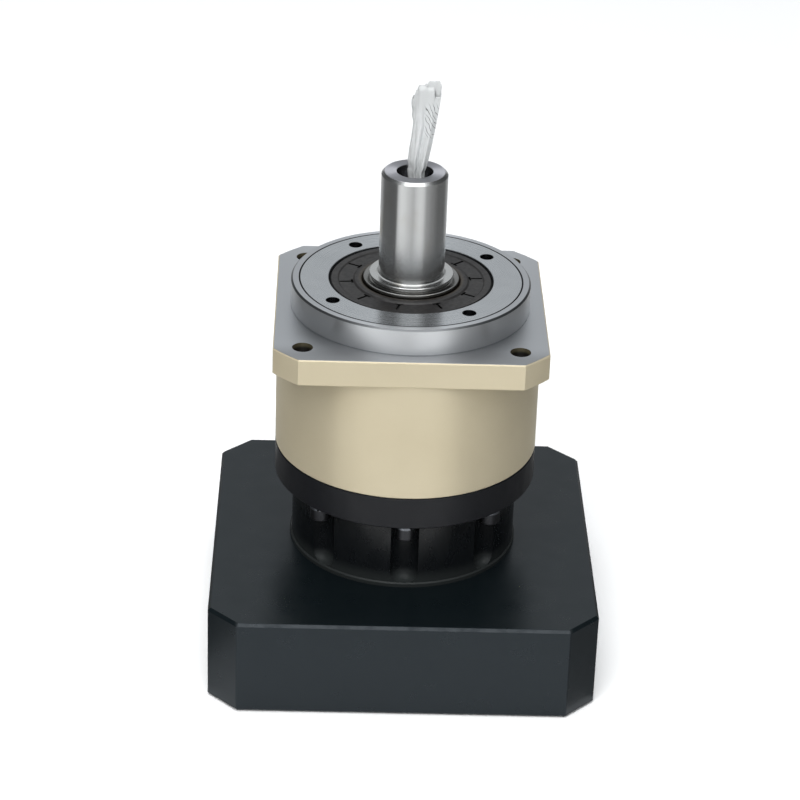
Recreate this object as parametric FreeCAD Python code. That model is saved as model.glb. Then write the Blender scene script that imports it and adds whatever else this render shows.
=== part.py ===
import FreeCAD, Part
import math
import os

from FreeCAD import Vector

# A single-stage planetary gearbox standing on its motor adapter plate, output shaft up.
# Millimetres. The origin is the centre of the plate's underside and +Z runs up the shaft.

# Driving dimensions: the casing, from the floor up
PLATE_SIDE = 130.0
PLATE_TOP = 34.0
PLATE_CORNER = 10.0
PLATE_EDGE = 1.0
NECK_R = 38.5
FOOT_R = 39.0
FOOT_HEIGHT = 1.6
CLAMP_RING_BOTTOM = 59.6
HOUSING_BOTTOM = 71.0
BODY_R = 44.5
FLANGE_BOTTOM = 112.2
FLANGE_TOP = 121.4
FLANGE_SIDE = 90.0
FLANGE_CORNER_R = 58.0
FLANGE_BOLT_CIRCLE_R = 50.0
FLANGE_BOLT_R = 3.4
PILOT_R = 40.0
PILOT_TOP = FLANGE_TOP + 9.2
SMALL_CHAMFER = 0.4
PILOT_CHAMFER = 0.6

# Output shaft
SHAFT_R = 11.0
SHAFT_TIP = FLANGE_TOP + 47.8
COLLAR_R = 14.1
COLLAR_TOP = FLANGE_TOP + 11.7
COLLAR_NECK_R = 13.5
JOURNAL_R = 16.0
JOURNAL_TOP = FLANGE_TOP + 10.1
JOURNAL_BOTTOM = FLANGE_TOP + 3.7
CENTRE_MOUTH_R = 6.1
CENTRE_RELIEF_R = 4.2
CENTRE_RELIEF_DEPTH = 6.0
CENTRE_THREAD_R = 3.4
CENTRE_DRILL_DEPTH = 25.0

# Gear set, module 1: sun 21, planets 21, ring 63, so four input turns make one output turn
MODULE = 1.0
PRESSURE_ANGLE = math.radians(20.0)
SUN_TEETH = 21
PLANET_TEETH = 21
RING_TEETH = SUN_TEETH + 2 * PLANET_TEETH
PLANET_COUNT = 3
FIRST_PLANET_ANGLE = 90.0
ADDENDUM = 1.0 * MODULE
DEDENDUM = 1.25 * MODULE
TOOTH_THINNING = 0.16
PLANET_ORBIT_R = MODULE * (SUN_TEETH + PLANET_TEETH) / 2
RING_TIP_R = MODULE * RING_TEETH / 2 - ADDENDUM
RING_ROOT_R = MODULE * RING_TEETH / 2 + DEDENDUM

# Where the pieces of the gear stage sit along the shaft
REAR_BEARING_BOTTOM = 72.6
REAR_PLATE_BOTTOM = 85.2
REAR_PLATE_TOP = 90.2
FRONT_PLATE_BOTTOM = 102.0
FRONT_PLATE_TOP = 106.9
PLANET_WIDTH = 10.4
WASHER_THICKNESS = 0.6
WASHER_R = 8.5
SIDE_GAP = 0.05
CARRIER_R = 29.4
CARRIER_BORE_R = 12.5
PIN_R = 4.0
NEEDLE_COUNT = 15
NEEDLE_R = 0.96
NEEDLE_ORBIT_R = 5.0
PLANET_BORE_R = 6.0

# Ball bearings: bore radius, outside radius, width, ball radius, number of balls
FRONT_BEARING = (20.0, 34.0, 15.0, 3.97, 12)
REAR_BEARING = (22.5, 34.0, 12.0, 3.175, 16)
INPUT_BEARING = (15.0, 27.5, 13.0, 3.572, 11)
FRONT_BEARING_BOTTOM = 107.6
INPUT_BEARING_BOTTOM = 55.0
BALL_GAP = 0.06
RING_EDGE = 0.5
BEARING_SHOULDER = 3.0

# Circlips: groove depths, thicknesses, and the room each groove leaves along the shaft
FRONT_GROOVE_DEPTH = 1.25
FRONT_CLIP = 1.75
INPUT_GROOVE_DEPTH = 1.0
INPUT_CLIP = 1.5
BORE_GROOVE_DEPTH = 1.5
BORE_CLIP = 2.0
CLIP_ROOM = 0.1
CLIP_REACH = 2.2
CLIP_MOUTH = 5.0
CLIP_EYE_R = 1.7
CLIP_EYE_HOLE_R = 0.7

# Front retaining ring
RETAINER_R = 37.1
RETAINER_RECESS_R = 37.3
RETAINER_EDGE = 0.1
SEAL_BORE_R = 27.5
SEAL_BORE_EDGE = 0.15
SPANNER_CIRCLE_R = 31.9
SPANNER_HOLE_R = 2.35
SPANNER_HOLE_DEPTH = 5.0
SPANNER_HOLE_ANGLE = 35.6

# The two shaft seals, both for a 32 mm journal in a 55 mm bore
SEAL_WIDTH = 6.3
SEAL_EDGE_WIDTH = 0.9
SEAL_EDGE_DEPTH = 1.1
SEAL_TRAY_R = 24.0
SEAL_BEAD_R = 19.4
SEAL_TRAY_DEPTH = 0.35
SEAL_LIP_DEPTH = 2.3
SEAL_SPRING_R = 19.15
SEAL_SPRING_WIRE_R = 0.62
SEAL_SPRING_DEPTH = 3.9
SEAL_NOTCHES = 10
SEAL_NOTCH_WIDTH = 0.9
SEAL_NOTCH_FOOT = 2.8
SEAL_NOTCH_FOOT_WIDTH = 0.7
SEAL_NOTCH_DEPTH = 1.0
SEAL_NOTCH_ANGLE = 6.0

# Input housing screws, in half-round slots round the neck
SCREW_COUNT = 8
SCREW_CIRCLE_R = 40.2
SLOT_R = 5.1
SLOT_BOTTOM = PLATE_TOP + FOOT_HEIGHT - 0.1
SLOT_END_RADIUS = 4.0
SCREW_THREAD_R = 2.0
SCREW_HEAD_R = 3.5
SCREW_HEAD_HEIGHT = 4.0
SPRING_WASHER = 1.1
SCREW_SOCKET = 3.0
SCREW_HOLE_GAP = 0.25
HOUSING_THREAD_DEPTH = 12.0
HOUSING_THREAD_USED = 10.0
O_RING_R = 35.9
O_RING_WIRE_R = 0.55
O_RING_GROOVE_HALF = 1.0

# Motor side: recess for the motor's pilot, bolt circle, and the clamp on the motor shaft
MOTOR_PILOT_R = 55.0
MOTOR_PILOT_DEPTH = 6.0
MOTOR_BOLT_CIRCLE_R = 72.5
MOTOR_BOLT_R = 3.4
MOTOR_BOLT_DEPTH = 22.0
MOTOR_SHAFT_R = 11.0
CAVITY_R = 30.0
ADAPTER_SCREW_CIRCLE_R = 34.0
ADAPTER_SCREW_ANGLE = 22.5
ADAPTER_SCREW_LENGTH = 22.0
ADAPTER_SEAT_DEPTH = 12.0
ADAPTER_THREAD_DEPTH = 12.0
SPIGOT_DEPTH = 3.0
CLAMP_HUB_R = 17.0
CLAMP_HUB_BOTTOM = 9.0
CLAMP_HUB_TOP = 43.0
CLAMP_SLIT_WIDTH = 1.6
CLAMP_SLIT_TOP = 32.0
CLAMP_COLLAR_R = 26.0
CLAMP_COLLAR_BOTTOM = 12.0
CLAMP_COLLAR_TOP = 29.0
CLAMP_GAP = 2.0
CLAMP_SCREW_R = 2.5
CLAMP_SCREW_HEAD_R = 4.25
CLAMP_SCREW_X = 21.6
CLAMP_SCREW_Z = 20.5
CLAMP_SEAT_Y = 7.0
MOTOR_SHAFT_ROOM_TOP = 57.0
ACCESS_HOLE_R = 7.0
ACCESS_PLUG_LENGTH = 8.0

# Film twist standing in the shaft's centre hole: height above the floor, lean and half sizes
TWIST_SECTIONS = (
    (SHAFT_TIP - 5.6, 0.4, 2.2, 1.8),
    (SHAFT_TIP + 3.0, 1.1, 2.3, 2.0),
    (SHAFT_TIP + 14.0, 1.9, 3.1, 2.3),
    (SHAFT_TIP + 25.0, 3.3, 4.3, 2.6),
    (SHAFT_TIP + 31.2, 4.2, 3.2, 2.0),
)

# Clearance between pieces that are fitted together in one body, and at a running fit
FIT_GAP = 0.01
RUNNING_GAP = 0.05
THREAD_GAP = 0.05

UP = Vector(0, 0, 1)


def cylinder(radius, z_low, z_high, x=0.0, y=0.0):
    return Part.makeCylinder(radius, z_high - z_low, Vector(x, y, z_low))


def tube(inner_r, outer_r, z_low, z_high):
    return cylinder(outer_r, z_low, z_high).cut(cylinder(inner_r, z_low - 1, z_high + 1))


def turned(profile):
    """The solid made by turning a closed outline of (radius, z) points about the shaft's axis."""
    points = [Vector(r, 0, z) for r, z in profile]
    face = Part.Face(Part.makePolygon(points + points[:1]))
    return face.revolve(Vector(0, 0, 0), UP, 360)


def on_circle(radius, angle):
    a = math.radians(angle)
    return radius * math.cos(a), radius * math.sin(a)


def around(shape, count, first_angle=0.0):
    """Copies of a shape that stands on the +X side, spread evenly round the axis."""
    copies = []
    for i in range(count):
        copy = shape.copy()
        copy.rotate(Vector(0, 0, 0), UP, first_angle + 360.0 * i / count)
        copies.append(copy)
    return copies


def hexagon(across_flats, z_low, z_high, x=0.0, y=0.0):
    corner_r = across_flats / math.sqrt(3)
    corners = []
    for i in range(7):
        dx, dy = on_circle(corner_r, 60 * i)
        corners.append(Vector(x + dx, y + dy, z_low))
    return Part.Face(Part.makePolygon(corners)).extrude(Vector(0, 0, z_high - z_low))


def level_edges(shape, z):
    """Edges that lie at one height."""
    return [e for e in shape.Edges if abs(e.BoundBox.ZMin - z) + abs(e.BoundBox.ZMax - z) < 1e-4]


def spline(points):
    curve = Part.BSplineCurve()
    curve.interpolate(points)
    return curve.toShape()


def save(name, *solids):
    shape = solids[0] if len(solids) == 1 else Part.makeCompound(list(solids))
    assert shape.isValid(), name
    shape.exportStep(f"parts/{name}.step")


# Gears


def involute_angle(radius, base_r):
    """Polar angle of the involute from its start on the base circle, at the given radius."""
    if radius <= base_r:
        return 0.0
    pressure = math.acos(base_r / radius)
    return math.tan(pressure) - pressure


def gear_prism(teeth, root_r, tip_r, thickening, z_low, z_high, tooth_angle):
    """A toothed prism with involute flanks; one tooth is centred on tooth_angle, in degrees.

    thickening is added to the tooth's thickness on the pitch circle, and may be negative.
    """
    pitch_r = MODULE * teeth / 2
    base_r = pitch_r * math.cos(PRESSURE_ANGLE)
    half = math.pi / (2 * teeth) + thickening / (2 * pitch_r) + involute_angle(pitch_r, base_r)
    root_half = half - involute_angle(root_r, base_r)
    start_r = max(root_r, base_r)
    steps = 6

    def at(radius, angle):
        return Vector(radius * math.cos(angle), radius * math.sin(angle), z_low)

    def flank(centre, side):
        points = []
        for i in range(steps + 1):
            radius = start_r + (tip_r - start_r) * i / steps
            points.append(at(radius, centre + side * (half - involute_angle(radius, base_r))))
        return points

    edges = []
    pitch_angle = 2 * math.pi / teeth
    for i in range(teeth):
        centre = math.radians(tooth_angle) + i * pitch_angle
        right = flank(centre, -1)
        left = flank(centre, 1)
        root_right = at(root_r, centre - root_half)
        root_left = at(root_r, centre + root_half)
        next_root = at(root_r, centre + pitch_angle - root_half)
        if start_r > root_r:
            edges.append(Part.LineSegment(root_right, right[0]).toShape())
        edges.append(spline(right))
        edges.append(Part.Arc(right[-1], at(tip_r, centre), left[-1]).toShape())
        edges.append(spline(left[::-1]))
        if start_r > root_r:
            edges.append(Part.LineSegment(left[0], root_left).toShape())
        root_middle = at(root_r, centre + pitch_angle / 2)
        edges.append(Part.Arc(root_left, root_middle, next_root).toShape())
    face = Part.Face(Part.Wire(edges))
    return face.extrude(Vector(0, 0, z_high - z_low))


def planet_places():
    for i in range(PLANET_COUNT):
        angle = FIRST_PLANET_ANGLE + 360.0 * i / PLANET_COUNT
        yield angle, on_circle(PLANET_ORBIT_R, angle)


def planet_bottom():
    return REAR_PLATE_TOP + WASHER_THICKNESS + 2 * SIDE_GAP


def planet_gear(angle, x, y):
    """A planet with a tooth pointing straight out, into the middle of a ring gear space."""
    low = planet_bottom()
    pitch_r = MODULE * PLANET_TEETH / 2
    gear = gear_prism(
        PLANET_TEETH,
        pitch_r - DEDENDUM,
        pitch_r + ADDENDUM,
        -TOOTH_THINNING / 2,
        low,
        low + PLANET_WIDTH,
        angle,
    )
    gear.translate(Vector(x, y, 0))
    return gear.cut(cylinder(PLANET_BORE_R, low - 1, low + PLANET_WIDTH + 1, x, y))


def needle_rollers(x, y):
    low = planet_bottom() + 0.3
    high = low + PLANET_WIDTH - 0.6
    rollers = []
    for i in range(NEEDLE_COUNT):
        dx, dy = on_circle(NEEDLE_ORBIT_R, 360.0 * i / NEEDLE_COUNT)
        rollers.append(cylinder(NEEDLE_R, low, high, x + dx, y + dy))
    return rollers


# Rings, bearings and seals


def ball_bearing(sizes, z_low):
    """The inner ring, the outer ring, the balls and the cage of a ball bearing."""
    bore_r, outside_r, width, ball_r, count = sizes
    pitch_r = (bore_r + outside_r) / 2
    z_high = z_low + width
    middle = z_low + width / 2
    edge = RING_EDGE
    groove = Part.makeTorus(pitch_r, ball_r + BALL_GAP, Vector(0, 0, middle))
    inner = turned(
        [
            (bore_r + FIT_GAP, z_low + edge),
            (bore_r + FIT_GAP + edge, z_low),
            (pitch_r - ball_r / 2, z_low),
            (pitch_r - ball_r / 2, z_high),
            (bore_r + FIT_GAP + edge, z_high),
            (bore_r + FIT_GAP, z_high - edge),
        ]
    ).cut(groove)
    outer = turned(
        [
            (pitch_r + ball_r / 2, z_low),
            (outside_r - FIT_GAP - edge, z_low),
            (outside_r - FIT_GAP, z_low + edge),
            (outside_r - FIT_GAP, z_high - edge),
            (outside_r - FIT_GAP - edge, z_high),
            (pitch_r + ball_r / 2, z_high),
        ]
    ).cut(groove)
    ball = Part.makeSphere(ball_r, Vector(pitch_r, 0, middle))
    balls = around(ball, count)
    cage = tube(
        pitch_r - 0.35 * ball_r,
        pitch_r + 0.35 * ball_r,
        middle - 1.25 * ball_r,
        middle + 1.25 * ball_r,
    )
    pocket = Part.makeCylinder(
        ball_r + 0.08, 2 * ball_r, Vector(pitch_r - ball_r, 0, middle), Vector(1, 0, 0)
    )
    for hole in around(pocket, count):
        cage = cage.cut(hole)
    return inner, outer, balls, cage


def circlip(inner_r, outer_r, z_low, thickness, eyes_inside=False):
    """A retaining ring with a mouth and two eyes for the pliers, on the rear side."""
    z_high = z_low + thickness
    ring = tube(inner_r, outer_r, z_low, z_high)
    mouth = Part.makeBox(CLIP_MOUTH, outer_r, thickness + 2, Vector(-CLIP_MOUTH / 2, 0, z_low - 1))
    ring = ring.cut(mouth)
    eye_orbit = inner_r - 0.2 if eyes_inside else outer_r + 0.2
    for side in (-1, 1):
        x = side * (CLIP_MOUTH / 2 + CLIP_EYE_R)
        y = math.sqrt(eye_orbit**2 - x**2)
        ring = ring.fuse(cylinder(CLIP_EYE_R, z_low, z_high, x, y))
        ring = ring.cut(cylinder(CLIP_EYE_HOLE_R, z_low - 1, z_high + 1, x, y))
    return ring.removeSplitter()


def shaft_seal(face_z, outward):
    """A rubber shaft seal; face_z is its outer face and outward is +1 when that face looks up."""
    outer_r = SEAL_BORE_R - FIT_GAP
    section = [
        (outer_r, -SEAL_WIDTH),
        (outer_r, -SEAL_EDGE_DEPTH),
        (outer_r - 0.6 * SEAL_EDGE_WIDTH, -0.3 * SEAL_EDGE_DEPTH),
        (outer_r - SEAL_EDGE_WIDTH, 0.0),
        (SEAL_TRAY_R + 0.5, 0.0),
        (SEAL_TRAY_R, -SEAL_TRAY_DEPTH),
        (SEAL_BEAD_R, -SEAL_TRAY_DEPTH),
        (SEAL_BEAD_R - 0.6, 0.1),
        (SEAL_BEAD_R - 1.4, 0.3),
        (JOURNAL_R + 1.1, 0.3),
        (JOURNAL_R + 0.6, 0.1),
        (JOURNAL_R + 0.4, -0.9),
        (JOURNAL_R + RUNNING_GAP, -SEAL_LIP_DEPTH),
        (JOURNAL_R + 0.9, -4.3),
        (JOURNAL_R + 2.2, -4.7),
        (JOURNAL_R + 2.5, -2.6),
        (outer_r - 1.9, -SEAL_LIP_DEPTH),
        (outer_r - 1.9, -SEAL_WIDTH),
    ]
    seal = turned([(r, face_z + outward * z) for r, z in section])
    low = face_z - SEAL_NOTCH_DEPTH
    bar = Part.makeBox(
        SEAL_TRAY_R - SEAL_BEAD_R,
        SEAL_NOTCH_WIDTH,
        2 * SEAL_NOTCH_DEPTH,
        Vector(SEAL_BEAD_R, -SEAL_NOTCH_WIDTH / 2, low),
    )
    foot = Part.makeBox(
        SEAL_NOTCH_FOOT_WIDTH,
        SEAL_NOTCH_FOOT,
        2 * SEAL_NOTCH_DEPTH,
        Vector(SEAL_BEAD_R, -SEAL_NOTCH_FOOT / 2, low),
    )
    for one in around(bar.fuse(foot), SEAL_NOTCHES, SEAL_NOTCH_ANGLE):
        seal = seal.cut(one)
    spring = Part.makeTorus(
        SEAL_SPRING_R, SEAL_SPRING_WIRE_R, Vector(0, 0, face_z - outward * SEAL_SPRING_DEPTH)
    )
    return seal, spring


# Fasteners


def socket_screw(thread_r, head_r, head_height, socket, z_head_low, length, x=0.0, y=0.0):
    """A socket head screw that points up, with its head's open socket below."""
    head_top = z_head_low + head_height
    head = cylinder(head_r, z_head_low, head_top, x, y)
    head = head.makeChamfer(SMALL_CHAMFER, level_edges(head, z_head_low))
    shank = cylinder(thread_r, head_top - 0.5, head_top + length, x, y)
    shank = shank.makeChamfer(SMALL_CHAMFER, level_edges(shank, head_top + length))
    screw = head.fuse(shank).removeSplitter()
    return screw.cut(hexagon(socket, z_head_low - 1, z_head_low + head_height / 2, x, y))


def spring_washer(z_low, x, y):
    ring = cylinder(SCREW_HEAD_R, z_low, z_low + SPRING_WASHER, x, y)
    ring = ring.cut(cylinder(SCREW_THREAD_R + 0.1, z_low - 1, z_low + 3, x, y))
    split = Part.makeBox(5, 0.6, 4, Vector(0, -0.3, -2))
    split.rotate(Vector(0, 0, 0), Vector(1, 0, 0), 20)
    split.rotate(Vector(0, 0, 0), UP, math.degrees(math.atan2(y, x)) + 30)
    split.translate(Vector(x, y, z_low + SPRING_WASHER / 2))
    return ring.cut(split)


def housing_screw_places():
    return [on_circle(SCREW_CIRCLE_R, 360.0 * i / SCREW_COUNT - 90) for i in range(SCREW_COUNT)]


def adapter_screw_places():
    return [on_circle(ADAPTER_SCREW_CIRCLE_R, ADAPTER_SCREW_ANGLE + 90 * i) for i in range(4)]


# Casing


def flange():
    """The square flange, its four corners turned to one circle, with its bolt holes."""
    half = FLANGE_SIDE / 2
    height = FLANGE_TOP - FLANGE_BOTTOM
    block = Part.makeBox(FLANGE_SIDE, FLANGE_SIDE, height, Vector(-half, -half, FLANGE_BOTTOM))
    block = block.common(cylinder(FLANGE_CORNER_R, FLANGE_BOTTOM, FLANGE_TOP))
    edges = level_edges(block, FLANGE_BOTTOM) + level_edges(block, FLANGE_TOP)
    block = block.makeChamfer(SMALL_CHAMFER, edges)
    for i in range(4):
        x, y = on_circle(FLANGE_BOLT_CIRCLE_R, 45 + 90 * i)
        block = block.cut(cylinder(FLANGE_BOLT_R, FLANGE_BOTTOM - 1, FLANGE_TOP + 1, x, y))
    return block


def gear_housing():
    """Body, flange and pilot in one piece, with the ring gear cut into its wall."""
    c = SMALL_CHAMFER
    body = turned(
        [
            (0, HOUSING_BOTTOM),
            (BODY_R - c, HOUSING_BOTTOM),
            (BODY_R, HOUSING_BOTTOM + c),
            (BODY_R, FLANGE_BOTTOM + 1),
            (PILOT_R, FLANGE_BOTTOM + 1),
            (PILOT_R, PILOT_TOP - PILOT_CHAMFER),
            (PILOT_R - PILOT_CHAMFER, PILOT_TOP),
            (0, PILOT_TOP),
        ]
    )
    front_low = FRONT_BEARING_BOTTOM
    front_high = front_low + FRONT_BEARING[2]
    rear_high = REAR_BEARING_BOTTOM + REAR_BEARING[2]
    teeth_top = FRONT_PLATE_BOTTOM + 0.6
    hollow = turned(
        [
            (0, HOUSING_BOTTOM - 1),
            (REAR_BEARING[1], HOUSING_BOTTOM - 1),
            (REAR_BEARING[1], rear_high),
            (RING_TIP_R, rear_high),
            (RING_TIP_R, teeth_top),
            (RING_ROOT_R, teeth_top),
            (RING_ROOT_R, front_low - 1.6),
            (RING_TIP_R + 0.6, front_low - 1.6),
            (RING_TIP_R + 0.6, front_low),
            (FRONT_BEARING[1], front_low),
            (FRONT_BEARING[1], front_high),
            (RETAINER_RECESS_R, front_high),
            (RETAINER_RECESS_R, PILOT_TOP - RETAINER_EDGE),
            (RETAINER_RECESS_R + RETAINER_EDGE, PILOT_TOP),
            (RETAINER_RECESS_R + RETAINER_EDGE, PILOT_TOP + 1),
            (0, PILOT_TOP + 1),
        ]
    )
    spaces = gear_prism(
        RING_TEETH,
        RING_TIP_R - 0.2,
        RING_ROOT_R,
        TOOTH_THINNING / 2,
        rear_high - 0.5,
        teeth_top + 0.5,
        FIRST_PLANET_ANGLE,
    )
    housing = body.fuse(flange()).removeSplitter().cut(hollow).cut(spaces)
    for x, y in housing_screw_places():
        thread_top = HOUSING_BOTTOM + HOUSING_THREAD_DEPTH
        thread = cylinder(SCREW_THREAD_R + THREAD_GAP, HOUSING_BOTTOM - 1, thread_top, x, y)
        housing = housing.cut(thread)
    return housing


def front_retaining_ring():
    """Threaded ring that holds the front bearing and the seal, with four spanner holes."""
    low = FRONT_BEARING_BOTTOM + FRONT_BEARING[2]
    ring = turned(
        [
            (SEAL_BORE_R, low),
            (RETAINER_R, low),
            (RETAINER_R, PILOT_TOP - RETAINER_EDGE),
            (RETAINER_R - RETAINER_EDGE, PILOT_TOP),
            (SEAL_BORE_R + SEAL_BORE_EDGE, PILOT_TOP),
            (SEAL_BORE_R, PILOT_TOP - SEAL_BORE_EDGE),
        ]
    )
    for i in range(4):
        x, y = on_circle(SPANNER_CIRCLE_R, SPANNER_HOLE_ANGLE + 90 * i)
        floor = PILOT_TOP - SPANNER_HOLE_DEPTH
        ring = ring.cut(cylinder(SPANNER_HOLE_R, floor, PILOT_TOP + 1, x, y))
    return ring


def slot_cutter():
    """The tool for one half-round screw slot; its lower end is rounded, so the slot runs out."""
    tool = cylinder(SLOT_R, SLOT_BOTTOM, CLAMP_RING_BOTTOM, SCREW_CIRCLE_R, 0)
    return tool.makeFillet(SLOT_END_RADIUS, level_edges(tool, SLOT_BOTTOM))


def input_housing():
    """The black ring that closes the gear housing, and the slotted neck below it."""
    c = 0.5
    spigot_bottom = PLATE_TOP - SPIGOT_DEPTH
    bearing_top = INPUT_BEARING_BOTTOM + INPUT_BEARING[2]
    bore_r = INPUT_BEARING[1]
    shoulder_r = bore_r - BEARING_SHOULDER
    rear_shoulder_r = REAR_BEARING[1] - BEARING_SHOULDER
    groove_r = bore_r + BORE_GROOVE_DEPTH
    groove_low = INPUT_BEARING_BOTTOM - BORE_CLIP - CLIP_ROOM
    outside = turned(
        [
            (0, spigot_bottom),
            (CAVITY_R - RUNNING_GAP, spigot_bottom),
            (CAVITY_R - RUNNING_GAP, PLATE_TOP),
            (FOOT_R, PLATE_TOP),
            (FOOT_R, PLATE_TOP + FOOT_HEIGHT - 0.4),
            (FOOT_R - 0.4, PLATE_TOP + FOOT_HEIGHT),
            (NECK_R, PLATE_TOP + FOOT_HEIGHT),
            (NECK_R, CLAMP_RING_BOTTOM),
            (BODY_R - c, CLAMP_RING_BOTTOM),
            (BODY_R, CLAMP_RING_BOTTOM + c),
            (BODY_R, HOUSING_BOTTOM - c),
            (BODY_R - c, HOUSING_BOTTOM),
            (REAR_BEARING[1] - FIT_GAP, HOUSING_BOTTOM),
            (REAR_BEARING[1] - FIT_GAP, REAR_BEARING_BOTTOM),
            (0, REAR_BEARING_BOTTOM),
        ]
    )
    hollow = turned(
        [
            (0, spigot_bottom - 1),
            (bore_r, spigot_bottom - 1),
            (bore_r, groove_low),
            (groove_r, groove_low),
            (groove_r, INPUT_BEARING_BOTTOM),
            (bore_r, INPUT_BEARING_BOTTOM),
            (bore_r, bearing_top),
            (shoulder_r, bearing_top),
            (shoulder_r, HOUSING_BOTTOM),
            (rear_shoulder_r, HOUSING_BOTTOM),
            (rear_shoulder_r, REAR_BEARING_BOTTOM + 1),
            (0, REAR_BEARING_BOTTOM + 1),
        ]
    )
    o_ring_groove = tube(
        O_RING_R - O_RING_GROOVE_HALF,
        O_RING_R + O_RING_GROOVE_HALF,
        HOUSING_BOTTOM - 2 * O_RING_WIRE_R,
        HOUSING_BOTTOM + 1,
    )
    housing = outside.cut(hollow).cut(o_ring_groove)
    for slot in around(slot_cutter(), SCREW_COUNT, -90):
        housing = housing.cut(slot)
    for x, y in housing_screw_places():
        hole_r = SCREW_THREAD_R + SCREW_HOLE_GAP
        housing = housing.cut(cylinder(hole_r, CLAMP_RING_BOTTOM - 1, HOUSING_BOTTOM + 1, x, y))
    for x, y in adapter_screw_places():
        thread_top = PLATE_TOP + ADAPTER_THREAD_DEPTH
        thread = cylinder(SCREW_THREAD_R + THREAD_GAP, PLATE_TOP - 1, thread_top, x, y)
        housing = housing.cut(thread)
    return housing


def motor_adapter_plate():
    """The square plate between motor and gearbox, with bevelled corners."""
    half = PLATE_SIDE / 2
    short = half - PLATE_CORNER
    outline = []
    for sx, sy in ((1, 1), (-1, 1), (-1, -1), (1, -1)):
        corner = [Vector(sx * half, sy * short, 0), Vector(sx * short, sy * half, 0)]
        outline += corner if sx * sy > 0 else corner[::-1]
    plate = Part.Face(Part.makePolygon(outline + outline[:1])).extrude(Vector(0, 0, PLATE_TOP))
    upright = [e for e in plate.Edges if e.BoundBox.ZLength > PLATE_TOP / 2]
    plate = plate.makeFillet(1.2, upright)
    plate = plate.makeChamfer(PLATE_EDGE, level_edges(plate, 0) + level_edges(plate, PLATE_TOP))
    plate = plate.cut(cylinder(MOTOR_PILOT_R, -1, MOTOR_PILOT_DEPTH))
    plate = plate.cut(cylinder(CAVITY_R, 0, PLATE_TOP + 1))
    for i in range(4):
        x, y = on_circle(MOTOR_BOLT_CIRCLE_R, 45 + 90 * i)
        plate = plate.cut(cylinder(MOTOR_BOLT_R, -1, MOTOR_BOLT_DEPTH, x, y))
    for x, y in adapter_screw_places():
        plate = plate.cut(cylinder(SCREW_THREAD_R + SCREW_HOLE_GAP, 0, PLATE_TOP + 1, x, y))
        seat_z = PLATE_TOP - ADAPTER_SEAT_DEPTH
        plate = plate.cut(cylinder(SCREW_HEAD_R + SCREW_HOLE_GAP, 0, seat_z, x, y))
    access = Part.makeCylinder(
        ACCESS_HOLE_R, half, Vector(CLAMP_SCREW_X, 10, CLAMP_SCREW_Z), Vector(0, 1, 0)
    )
    return plate.cut(access)


def access_plug():
    """A press-in plug in the side of the plate, over the head of the clamp screw."""
    face_y = PLATE_SIDE / 2 - 0.3
    dish_r = 4.5
    dish_depth = 1.2
    knob_r = 1.8
    along = Vector(0, 1, 0)
    start = Vector(CLAMP_SCREW_X, face_y - ACCESS_PLUG_LENGTH, CLAMP_SCREW_Z)
    dish_floor = start + along * (ACCESS_PLUG_LENGTH - dish_depth)
    plug = Part.makeCylinder(ACCESS_HOLE_R - FIT_GAP, ACCESS_PLUG_LENGTH, start, along)
    dish = Part.makeCylinder(dish_r, 2 * dish_depth, dish_floor, along)
    knob = Part.makeCylinder(knob_r, dish_depth - 0.2, dish_floor, along)
    return plug.cut(dish).fuse(knob).removeSplitter()


# Turning pieces


def centre_hole():
    """Centre hole with a 60 degree seat, a relief and an M8 thread, in the end of the shaft."""
    seat_depth = (CENTRE_MOUTH_R - CENTRE_RELIEF_R) / math.tan(math.radians(30))
    tip_depth = CENTRE_DRILL_DEPTH + CENTRE_THREAD_R / math.tan(math.radians(59))
    return turned(
        [
            (0, SHAFT_TIP + 1),
            (CENTRE_MOUTH_R, SHAFT_TIP + 1),
            (CENTRE_MOUTH_R, SHAFT_TIP),
            (CENTRE_RELIEF_R, SHAFT_TIP - seat_depth),
            (CENTRE_RELIEF_R, SHAFT_TIP - CENTRE_RELIEF_DEPTH),
            (CENTRE_THREAD_R, SHAFT_TIP - CENTRE_RELIEF_DEPTH - 0.5),
            (CENTRE_THREAD_R, SHAFT_TIP - CENTRE_DRILL_DEPTH),
            (0, SHAFT_TIP - tip_depth),
        ]
    )


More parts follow.
